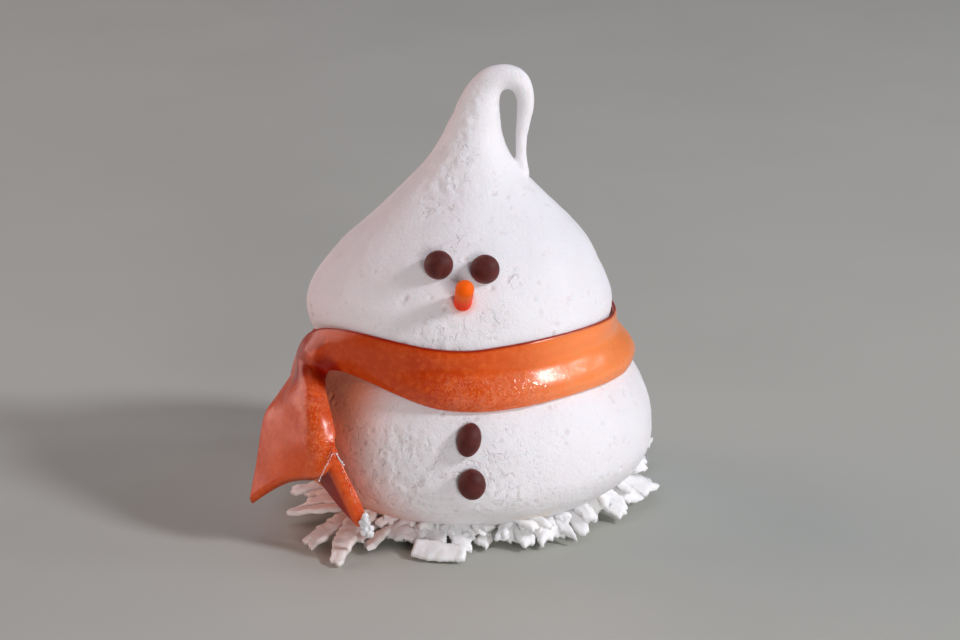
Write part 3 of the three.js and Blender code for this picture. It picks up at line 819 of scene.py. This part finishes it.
def broken_bits(rng):
    """Short bits, pressed into the underside between the long flakes."""
    made = []
    for n in range(BROKEN_BITS):
        angle = rng.uniform(BITS_FROM, BITS_TO)
        reach, tip_angle = rng.uniform(19.4, 22.0), angle + rng.uniform(-9, 9)
        low, high, width = rng.uniform(3.0, 3.7), rng.uniform(1.5, 3.1), rng.uniform(1.2, 2.6)
        place = around(18.0, reach, angle, tip_angle, low, high, width)
        bit = drawn_bit(rng, place, (0.55, 1.15), (0.6, 1.0), 0.5, 35, 0.6, 200 + n)
        if not BARE_FROM < angle < BARE_TO:
            made.append(bit)
    return made


def clinging_lumps(rng):
    """Lumps that cling to the lower edge of the meringue."""
    made = []
    for n in range(CLINGING_LUMPS):
        angle = BITS_TO - (BITS_TO - BARE_TO) * rng.random() ** 0.8
        reach, tip_angle = rng.uniform(22.2, 24.4), angle + rng.uniform(-6, 6)
        low, width = rng.uniform(4.0, 4.6), rng.uniform(1.6, 2.8)
        place = around(20.4, reach, angle, tip_angle, low, low - rng.uniform(0.6, 1.5), width)
        made.append(drawn_bit(rng, place, (0.75, 1.1), (0.9, 1.3), 0.4, 30, 0.4, 400 + n))
    return made


def make_coconut(material):
    rng = random.Random(5)
    parts = long_flakes() + broken_bits(rng) + clinging_lumps(rng)
    bed = [[0, 0.0]] + [[BED_RADIUS * k / 6, 0.0] for k in range(1, 7)] + [[BED_RADIUS, 1.6]]
    bed += [[BED_RADIUS * k / 6, BED_HEIGHT] for k in range(6, 0, -1)] + [[0, BED_HEIGHT]]
    parts.append(revolved(bed, 96))
    points, faces = joined(parts)
    mesh = mesh_from(points, faces)
    inner = 1 - smoothstep(np.hypot(points[:, 0], points[:, 1]), 17.5, 21)
    patches = smoothstep(gradient_noise(points, 3.5, 43), 0.1, 0.6)
    mark(mesh, "syrup", 0.5 * patches * inner * smoothstep(points[:, 0], -4, 4))
    # Painted orange light from the candy tails, fainter on the coconut.
    mark(mesh, "glow", 0.35 * painted_candy_glow(points))
    return piece("coconut", mesh, material)


# ---------------- scarf

# The strip's radius round the meringue at each height, as in the CAD.
wrap_radius = line([
    [0.0, 26.8], [4.0, 26.9], [8.0, 27.0], [12.0, 27.1], [15.0, 26.6], [18.3, 25.0],
    [20.0, 24.0], [21.2, 23.5], [22.3, 22.7], [23.2, 21.8], [24.2, 20.7], [25.0, 20.45],
    [26.2, 21.3], [27.6, 21.85], [29.4, 21.95], [30.4, 21.9],
])
# The candy is too stiff to sink into the neck, and bulges in front of it.
belly_radius = line([
    [17.0, 15.0], [19.0, 23.7], [20.3, 23.85], [21.2, 23.6], [22.2, 23.27], [23.3, 22.85],
    [24.4, 22.35], [25.3, 21.75], [26.3, 21.25], [27.4, 21.7], [28.6, 21.9], [31.0, 21.5],
])
# The heights of the band's edges at each angle.
band_upper = line([
    [-405, 30.0], [-397, 30.1], [-362, 28.8], [-332, 29.5], [-305, 29.4], [-285, 28.6],
    [-262, 28.0], [-180, 28.8], [-125, 26.2], [-100, 23.8],
])
band_lower = line([
    [-405, 23.7], [-392, 22.7], [-382, 21.6], [-371, 20.85], [-356, 20.6], [-317, 21.3],
    [-281, 20.9], [-180, 20.8], [-100, 20.2],
])
# Each rib's upper and lower end, as angle and height, and its ridge's height.
LOWER_TAIL = [
    [[-29.2, 4.4], [-47, 9.6], 0.8],
    [[-33.6, 8.6], [-53.5, 13.0], 1.0],
    [[-39.5, 13.2], [-62, 15.6], 0.9],
    [[-50, 18.0], [-71, 17.6], 0.4],
    [[-61, 21.2], [-81, 18.8], 0],
    [[-74, 23.4], [-91, 19.5], 0],
    [[-88, 23.6], [-99, 20.0], 0],
]
# The four points that each rib goes through.
LOOSE_TAIL = [
    [[-20.2, -11.9, 29.0], [-20.5, -13.4, 27.2], [-19.6, -14.3, 25.4], [-18.4, -14.4, 23.9]],
    [[-22.0, -9.4, 27.0], [-21.9, -12.7, 26.1], [-20.4, -14.8, 25.2], [-18.8, -14.6, 23.7]],
    [[-23.2, -8.5, 24.6], [-22.6, -11.1, 24.0], [-21.1, -12.9, 23.3], [-19.3, -13.9, 22.6]],
    [[-23.8, -8.9, 21.7], [-22.9, -13.4, 22.1], [-21.3, -16.8, 22.2], [-19.4, -15.3, 21.8]],
    [[-25.7, -9.6, 18.7], [-23.6, -15.6, 20.0], [-21.2, -19.5, 20.3], [-19.0, -17.4, 20.2]],
    [[-27.8, -10.6, 15.8], [-23.6, -17.3, 17.5], [-20.8, -21.2, 18.2], [-18.4, -19.2, 18.5]],
    [[-28.5, -12.4, 11.9], [-23.8, -19.0, 14.1], [-20.6, -22.6, 15.5], [-17.8, -20.7, 16.4]],
    [[-29.7, -14.9, 5.3], [-24.2, -19.4, 10.7], [-20.2, -23.2, 11.5], [-17.8, -22.9, 14.9]],
]
ACROSS = 45
ROWS_PER_RIB = 14
# The fold's valley, from the left to the band's upper edge.
VALLEY = [
    [-23.7, -9.2, 21.7], [-22.8, -10.6, 23.8], [-21.3, -13.5, 26.0], [-19.9, -13.9, 27.0],
    [-19.2, -14.2, 27.9], [-19.7, -13.4, 28.3],
]
VALLEY_STEPS = 60
# Where the painted shade in the hollow under the fold lies, how far it reaches, and how dark it is.
HOLLOW = [([-19.0, -14.8, 23.6], 3.6, 1.0), ([-21.9, -12.5, 22.6], 3.2, 0.8)]
# Fine cracks across the loose tail.
CRACKS = [
    [
        [-26.5, -9.9, 17.7], [-26.3, -10.9, 17.2], [-25.7, -12.4, 16.4], [-25.5, -13.3, 15.4],
        [-24.2, -14.6, 15.3], [-22.2, -17.2, 15.9],
    ],
    [[-24.9, -10.1, 19.5], [-23.8, -10.7, 20.8], [-22.8, -12.0, 21.8]],
]
# Where the lower tail's ridge lies, as a share of a rib's points, and of its width.
RIDGE_AT = 1 / 6
RIDGE_SHARE = 0.09
BAND_START, BAND_END, BAND_STEP = -102, -406, 15
# How far the band's lower and upper edges curl in, and how far its end stands out.
LOWER_CURL = 1.2
UPPER_CURL = 0.35
END_LIFT = 0.6
# How straight the loose tail's last rib is.
CUT_STRAIGHT = 0.45
TAIL_THICKNESS = 1.35
BAND_THICKNESS = 0.9
CUT_SLANT = 0.8


def on_wrap(angle, z, lift=0.0, belly=0.0):
    """Places round the meringue, lifted off it, and with a share of the belly in front of the neck."""
    radius = wrap_radius(z) + belly * np.maximum(belly_radius(z) - wrap_radius(z), 0) + lift
    axis = HEAD_SHIFT * smoothstep(z, 22, 26.5)
    turn = np.radians(angle)
    return np.stack([axis + radius * np.sin(turn), -radius * np.cos(turn), z], -1)


def scarf_ribs():
    """The strip's ribs, from the tail on the body to the loose tail, and the places along a rib.

    They follow the CAD's, but the band bulges and its edges curl in, and the loose tail is fuller.
    """
    v = np.sin(np.linspace(-math.pi / 2, math.pi / 2, ACROSS)) / 2 + 0.5
    front = np.minimum(v / RIDGE_AT, 1)
    back = np.maximum((v - RIDGE_AT) / (1 - RIDGE_AT), 0)
    ribs = []
    for (a0, z0), (a1, z1), ridge in LOWER_TAIL:
        across = RIDGE_SHARE * front + (1 - RIDGE_SHARE) * back if ridge else v
        crest = ridge * (front - 1 + (1 - back) ** 1.4)
        ribs.append(on_wrap(a0 + (a1 - a0) * across, z0 + (z1 - z0) * across, crest))
    curl = -LOWER_CURL * smoothstep(v, 0.78, 1) - UPPER_CURL * smoothstep(1 - v, 0.8, 1)
    for angle in range(BAND_START, BAND_END, -BAND_STEP):
        upper, lower = band_upper(angle), band_lower(angle)
        lift = END_LIFT * smoothstep(-angle, 380, 405)
        belly = smoothstep(-angle, 225, 285) * (1 - 0.6 * smoothstep(-angle, 375, 405))
        ribs.append(on_wrap(np.full(ACROSS, float(angle)), upper + (lower - upper) * v, lift + curl, belly))
    for n, points in enumerate(LOOSE_TAIL):
        rounded = spline(points, 3 * v)
        straight = np.stack([np.interp(3 * v, range(4), np.array(points)[:, k]) for k in range(3)], 1)
        cut = CUT_STRAIGHT if n == len(LOOSE_TAIL) - 1 else 0
        ribs.append(rounded + (straight - rounded) * cut)
    return np.array(ribs), v


def softened(grid, reach, axis):
    """A grid of points smoothed along one axis, with its ends held."""
    span = int(3 * reach)
    weights = np.exp(-0.5 * (np.arange(-span, span + 1) / reach) ** 2)
    grid = np.moveaxis(grid, axis, 0)
    before = 2 * grid[:1] - grid[span:0:-1]
    after = 2 * grid[-1:] - grid[-2 : -span - 2 : -1]
    longer = np.concatenate([before, grid, after])
    total = sum(w * longer[i : i + len(grid)] for i, w in enumerate(weights)) / weights.sum()
    return np.moveaxis(total, 0, axis)


def about_valley(grid):
    """Each point's distance from the fold's valley, whether it is on the dome, and its share along it."""
    out = np.cross(np.gradient(grid, axis=0), np.gradient(grid, axis=1)).reshape(-1, 3)
    path = spline(VALLEY, np.linspace(0, len(VALLEY) - 1, VALLEY_STEPS))
    heading = np.gradient(path, axis=0)
    places = grid.reshape(-1, 3)
    gaps = np.linalg.norm(places[:, None] - path[None], axis=2)
    nearest = gaps.argmin(1)
    side = (np.cross(heading[nearest], places - path[nearest]) * out).sum(1)
    return gaps.min(1), side > 0, nearest / (VALLEY_STEPS - 1)


# Below, t counts ribs along the strip and v runs across it from 0 to 1.


def scarf_middle(ribs, t):
    """The strip's middle surface through the ribs, softened across it, and along it at the fold."""
    grid = spline(ribs, t)
    loose = smoothstep(t, 26, 28.5)[:, None, None]
    kept = 1 - smoothstep(t, 2.5, 5)[:, None, None]
    grid = softened(grid, 3.2, 1) * (1 - loose - kept) + softened(grid, 4.0, 1) * loose + grid * kept
    knot = (smoothstep(t, 24.5, 26) * (1 - smoothstep(t, 28.5, 30)))[:, None, None]
    return softened(softened(grid, 8.0, 0), 4.0, 1) * knot + grid * (1 - knot)


def scarf_thickness(t, v, on_tails):
    """Thick in the lower tail and thin in the band, with its long edges rounded except on the tails."""
    tail = 1 - smoothstep(t, 2, 7)[:, None]
    band = BAND_THICKNESS * (0.62 + 0.38 * smoothstep(v, 0, 0.35))[None, :]
    thickness = TAIL_THICKNESS * tail + band * (1 - tail)
    edge = np.minimum(v, 1 - v)[None, :]
    rounded = np.sqrt(1 - (1 - np.clip(edge / 0.04, 0, 1)) ** 2)
    cut = (0.3 + 0.5 * on_tails)[:, None]
    return thickness * (cut + (1 - cut) * rounded)


def candy_shade(flat, t, v, gap, on_dome, turn):
    """How much painted shade darkens the candy in the hollow, behind the lower tail's ridge, on the dome and
    at the left.
    """
    hollow = [share * near(flat, place, reach) for place, reach, share in HOLLOW]
    behind = (1 - smoothstep(t, 2.5, 5))[:, None] * smoothstep(v, 0.2, 0.3)[None, :]
    dome = 0.65 * on_dome * (1 - smoothstep(gap, 2.5, 5.0)) * smoothstep(gap, 0, 0.5)
    left = 0.35 * np.repeat(smoothstep(t, 24, 25) * (1 - smoothstep(t, 28, 29)), ACROSS)
    left = left * (1 - smoothstep(turn, -38, 2))
    return np.maximum.reduce([*hollow, behind.ravel(), dome, left])


def candy_cracks_and_crease_shade(flat, gap, share):
    """Up to 1 on the fine cracks, drawn as dark lines, and in the fold's valley, whose dark line is painted
    shade in the crease and fades towards its ends.
    """
    crack = np.zeros(len(flat))
    for places in CRACKS:
        path = np.array(places, float)
        for a, b in zip(path[:-1], path[1:]):
            u = np.clip((flat - a) @ (b - a) / ((b - a) @ (b - a)), 0, 1)[:, None]
            away = np.linalg.norm(flat - a - u * (b - a), axis=1)
            crack = np.maximum(crack, 1 - smoothstep(away, 0.03, 0.22))
    fading = np.sin(math.pi * np.clip(share, 0.02, 0.98)) ** 0.6
    return np.maximum(crack, (1 - smoothstep(gap, 0.05, 0.5)) * fading)


def candy_dust(flat, t, v, turn):
    """Where the candy is dusty: low on the front of the band, and on both tails."""
    level = 1 - smoothstep(flat[:, 2], 24.5, 26.0)
    on_band = smoothstep(turn, -30, 0) * (1 - smoothstep(turn, 45, 75)) * level
    on_tails = smoothstep(t, 27, 28)[:, None] * smoothstep(v, 0.45, 0.7)[None, :]
    on_tails = on_tails + 0.5 * (1 - smoothstep(t, 3, 4))[:, None]
    return np.maximum(on_band, on_tails.ravel())


def make_scarf(material):
    ribs, v = scarf_ribs()
    rows = (len(ribs) - 1) * ROWS_PER_RIB + 1
    t = np.linspace(0, len(ribs) - 1, rows)
    grid = scarf_middle(ribs, t)
    along = np.gradient(grid, axis=0)
    out = np.cross(along, np.gradient(grid, v, axis=1))
    out /= np.linalg.norm(out, axis=2)[..., None]
    on_tails = 1 - smoothstep(t, 3, 6) + smoothstep(t, 27, 30)
    thickness = scarf_thickness(t, v, on_tails)
    flat = grid.reshape(-1, 3)
    soft = 0.12 * gradient_noise(flat, 6.0, 51) + 0.05 * gradient_noise(flat, 2.2, 52)
    soft = soft.reshape(rows, ACROSS) * smoothstep(t, 0, 3)[:, None]
    upper = grid + out * (thickness / 2 + np.maximum(soft, -0.1))[..., None]
    lower = grid - out * (thickness / 2)[..., None]
    # The loose tail is cut slantwise, so that its edge shows under its face.
    slant = smoothstep(t, t[-1] - 0.3, t[-1])[:, None, None]
    lower += CUT_SLANT * slant * along / np.linalg.norm(along, axis=2)[..., None]
    points = np.concatenate([upper.reshape(-1, 3), lower.reshape(-1, 3)])
    mesh = mesh_from(points, sheet_faces(rows, ACROSS))
    turn = np.degrees(np.arctan2(flat[:, 0], -flat[:, 1]))
    gap, on_dome, share = about_valley(grid)
    marks = {
        "rim": (np.clip(1 - v / 0.035, 0, 1)[None, :] * (1 - on_tails[:, None])).ravel(),
        # Painted shade where the candy lies in shadow.
        "deep": candy_shade(flat, t, v, gap, on_dome, turn),
        "crack": 0.55 * candy_cracks_and_crease_shade(flat, gap, share),
        "dusty": candy_dust(flat, t, v, turn),
        # Painted light on the right side, which faces the key light.
        "pale": smoothstep(turn, 0, 48) * (1 - smoothstep(turn, 100, 150)),
    }
    for name, values in marks.items():
        mark(mesh, name, np.tile(values, 2))
    return piece("scarf_strip", mesh, material, ["scarf"])


# ---------------- face and buttons

EYE_SIZE = [1.95, 1.95, 1.95]
# Each pearl's kiss, angle and height, how far out its middle is, its half sizes and its lean.
PEARLS = {
    "eye_left": (HEAD_PROFILE, head_axis, -12.8, 38.6, 0.8, EYE_SIZE, 0),
    "eye_right": (HEAD_PROFILE, head_axis, 8.1, 38.2, 0.8, EYE_SIZE, 0),
    "button_top": (BODY_PROFILE, upright, 0.4, 17.3, 0.3, [1.6, 2.3, 1.6], -12),
    "button_bottom": (BODY_PROFILE, upright, 1.2, 11.7, 0.5, [1.85, 2.1, 1.7], 8),
}
NOSE_RADIUS = 1.25
NOSE_LENGTH = 5.3
NOSE_DEPTH = 1.5
NOSE_WAIST = 0.07
NOSE_HEADING = Vector((0.07, -0.74, 0.67)).normalized()


def seated(points, place, out):
    """Points made along +Z, turned so that +Z points out of the meringue, and moved to a place."""
    turn = np.array(Vector((0, 0, 1)).rotation_difference(out).to_matrix())
    return points @ turn.T + np.array(place)


def ball(steps):
    return [[math.cos(a), math.sin(a)] for a in np.linspace(-math.pi / 2, math.pi / 2, steps)]


def pearl(size, lean, seed):
    """A slightly uneven ball of the given half sizes, turned in the plane that it is seen in."""
    points, faces = revolved(ball(33), 56)
    uneven = 1 + 0.014 * gradient_noise(points, 0.9, seed) + 0.006 * gradient_noise(points, 0.35, seed + 1)
    points = points * uneven[:, None] * size
    turn = np.array(Matrix.Rotation(math.radians(lean), 3, "Z"))
    return points @ turn.T, faces


def make_pearls(material):
    for k, (node, (profile, axis, angle, z, proud, size, lean)) in enumerate(PEARLS.items()):
        place, out = surface(profile, axis, angle, z)
        points, faces = pearl(size, lean, 80 + 2 * k)
        mesh = mesh_from(seated(points, place + out * proud, out), faces)
        piece(node + "_pearl", mesh, material, [node])


def make_nose(material):
    """A short stick with a round tip and the faintest waist, melted into the face at its root."""
    straight = NOSE_LENGTH - NOSE_RADIUS
    outline = [[0, -NOSE_DEPTH]]
    for u in np.linspace(0, 1, 40):
        radius = NOSE_RADIUS - NOSE_WAIST * math.sin(math.pi * u)
        outline.append([radius, -NOSE_DEPTH + u * (straight + NOSE_DEPTH)])
    for a in np.linspace(0, math.pi / 2, 14)[1:]:
        outline.append([NOSE_RADIUS * math.cos(a), straight + NOSE_RADIUS * math.sin(a)])
    outline[-1][0] = 0
    points, faces = revolved(outline, 48)
    place, _ = surface(HEAD_PROFILE, head_axis, NOSE_ANGLE, NOSE_HEIGHT)
    mesh = mesh_from(seated(points, place, NOSE_HEADING), faces)
    mark(mesh, "along", smoothstep(points[:, 2], 0.6, 0.8 * NOSE_LENGTH))
    piece("nose_stick", mesh, material, ["nose"])


# ---------------- sugar

# Each lone grain's place, radius and seed.
LONE_GRAINS = [
    ((-16.1, -22.6, 8.2), 0.24, 4),
    ((-16.3, -22.6, 7.1), 0.2, 5),
    ((-24.9, -18.2, 10.3), 0.13, 6),
]
# Each cut edge's start and end, and the number and the radii of its grains.
SUGAR_LINES = [
    ((-19.9, -23.6, 11.2), (-17.9, -23.4, 15.2), 46, (0.04, 0.08)),
    ((-17.6, -22.9, 14.9), (-16.6, -22.2, 12.9), 22, (0.05, 0.14)),
    ((-16.9, -22.4, 12.6), (-14.4, -23.9, 6.6), 16, (0.04, 0.08)),
]
# The crumb's upper end.
CRUMB_TOP = (-13.7, -25.0, 6.5)
CRUMB_GRAINS = 18
CRUMB_RADII = (0.35, 0.62)


def grain(place, radius, seed):
    """A rough crystal: a small ball with its corners knocked about."""
    points, faces = revolved(ball(7), 8)
    points = points * (1 + 0.35 * gradient_noise(points + 9 * seed, 0.8, 90))[:, None]
    return points * radius + np.array(place), faces


def make_sugar(material):
    """Grains along the tails' cut edges, and a crumb that sticks to the end of the lower tail."""
    rng = random.Random(3)
    grains = list(LONE_GRAINS)
    for k in range(CRUMB_GRAINS):
        u, turn = k / (CRUMB_GRAINS - 1), rng.uniform(0, 2 * math.pi)
        spread = 0.75 * math.sin(math.pi * (0.15 + 0.75 * u)) * rng.random() ** 0.5
        x, y, z = CRUMB_TOP
        middle = [x + 0.5 * u + spread * math.cos(turn), y - 0.3 * rng.random(), z - 2.3 * u]
        middle[2] += spread * math.sin(turn)
        grains.append((middle, rng.uniform(*CRUMB_RADII), 30 + k))
    for start, end, count, radii in SUGAR_LINES:
        for k in range(count):
            u = (k + rng.uniform(-0.4, 0.4)) / count
            place = [a + (b - a) * u + rng.uniform(-0.08, 0.08) for a, b in zip(start, end)]
            grains.append((place, rng.uniform(*radii), 10 + len(grains)))
    points, faces = joined([grain(*each) for each in grains])
    piece("sugar_grains", mesh_from(points, faces), material)


# ---------------- stage

# From here on, places and sizes are in metres.
FLOOR_REACH = 6.0
FLOOR_GREYS = (0.47, 0.48, 0.43, 1), (0.52, 0.53, 0.475, 1)
AIM = Vector((0, 0, 0.03))
COLD = (0.94, 0.93, 1.0)
# Each light's place from the aim, diameter, power and colour.
LIGHTS = {
    "key": ((0.69, -0.29, 0.5), 0.15, 4.4, COLD),
    "key_side": ((0.78, 0.03, 0.45), 0.14, 0.7, COLD),
    "side": ((0.72, 0.33, 0.42), 0.14, 0.35, COLD),
    "front": ((0.25, -0.85, 0.12), 0.3, 3.4, (1.0, 0.97, 1.0)),
    "left": ((-0.84, 0.24, 0.26), 1.0, 5.6, (1.0, 0.7, 0.65)),
    "top": ((-0.1, 0.45, 0.9), 0.7, 2.1, (0.66, 0.8, 1.0)),
}
# These two fill the shade without a reflection of their own.
UNREFLECTED = ("front", "top")
WORLD_COLOUR = (0.95, 0.95, 1.0, 1)
WORLD_STRENGTH = 0.04


def make_floor():
    n = Nodes("floor")
    material = n.finish(
        Base_Color=n.mix(n.noise(40.0, 3), *FLOOR_GREYS),
        Normal=n.bump(n.noise(0.8, 2), 0.01),
        Roughness=0.6,
        Specular_IOR_Level=0.3,
    )
    signs = [(-1, -1), (1, -1), (1, 1), (-1, 1)]
    corners = [(x * FLOOR_REACH, y * FLOOR_REACH, 0) for x, y in signs]
    floor = bpy.data.objects.new("floor", mesh_from(corners, [[0, 1, 2, 3]], "floor"))
    floor.data.materials.append(material)
    bpy.context.scene.collection.objects.link(floor)


def area_light(name, offset, size, power, colour):
    data = bpy.data.lights.new(name, "AREA")
    data.shape = "DISK"
    data.size = size
    data.energy = power
    data.color = colour
    light = bpy.data.objects.new(name, data)
    light.location = AIM + Vector(offset)
    light.rotation_euler = (-Vector(offset)).to_track_quat("-Z", "Y").to_euler()
    light.visible_glossy = name not in UNREFLECTED
    bpy.context.scene.collection.objects.link(light)


def make_lights():
    for name, settings in LIGHTS.items():
        area_light(name, *settings)
    world = bpy.data.worlds.new("world")
    world.use_nodes = True
    background = world.node_tree.nodes["Background"]
    background.inputs["Color"].default_value = WORLD_COLOUR
    background.inputs["Strength"].default_value = WORLD_STRENGTH
    bpy.context.scene.world = world
    bpy.context.scene.view_settings.view_transform = "Standard"


meringue = meringue_material()
make_body(meringue)
make_head(meringue)
make_coconut(coconut_material())
make_scarf(candy_material())
make_pearls(pearl_material())
make_nose(carrot_material())
make_sugar(sugar_material())
make_floor()
make_lights()
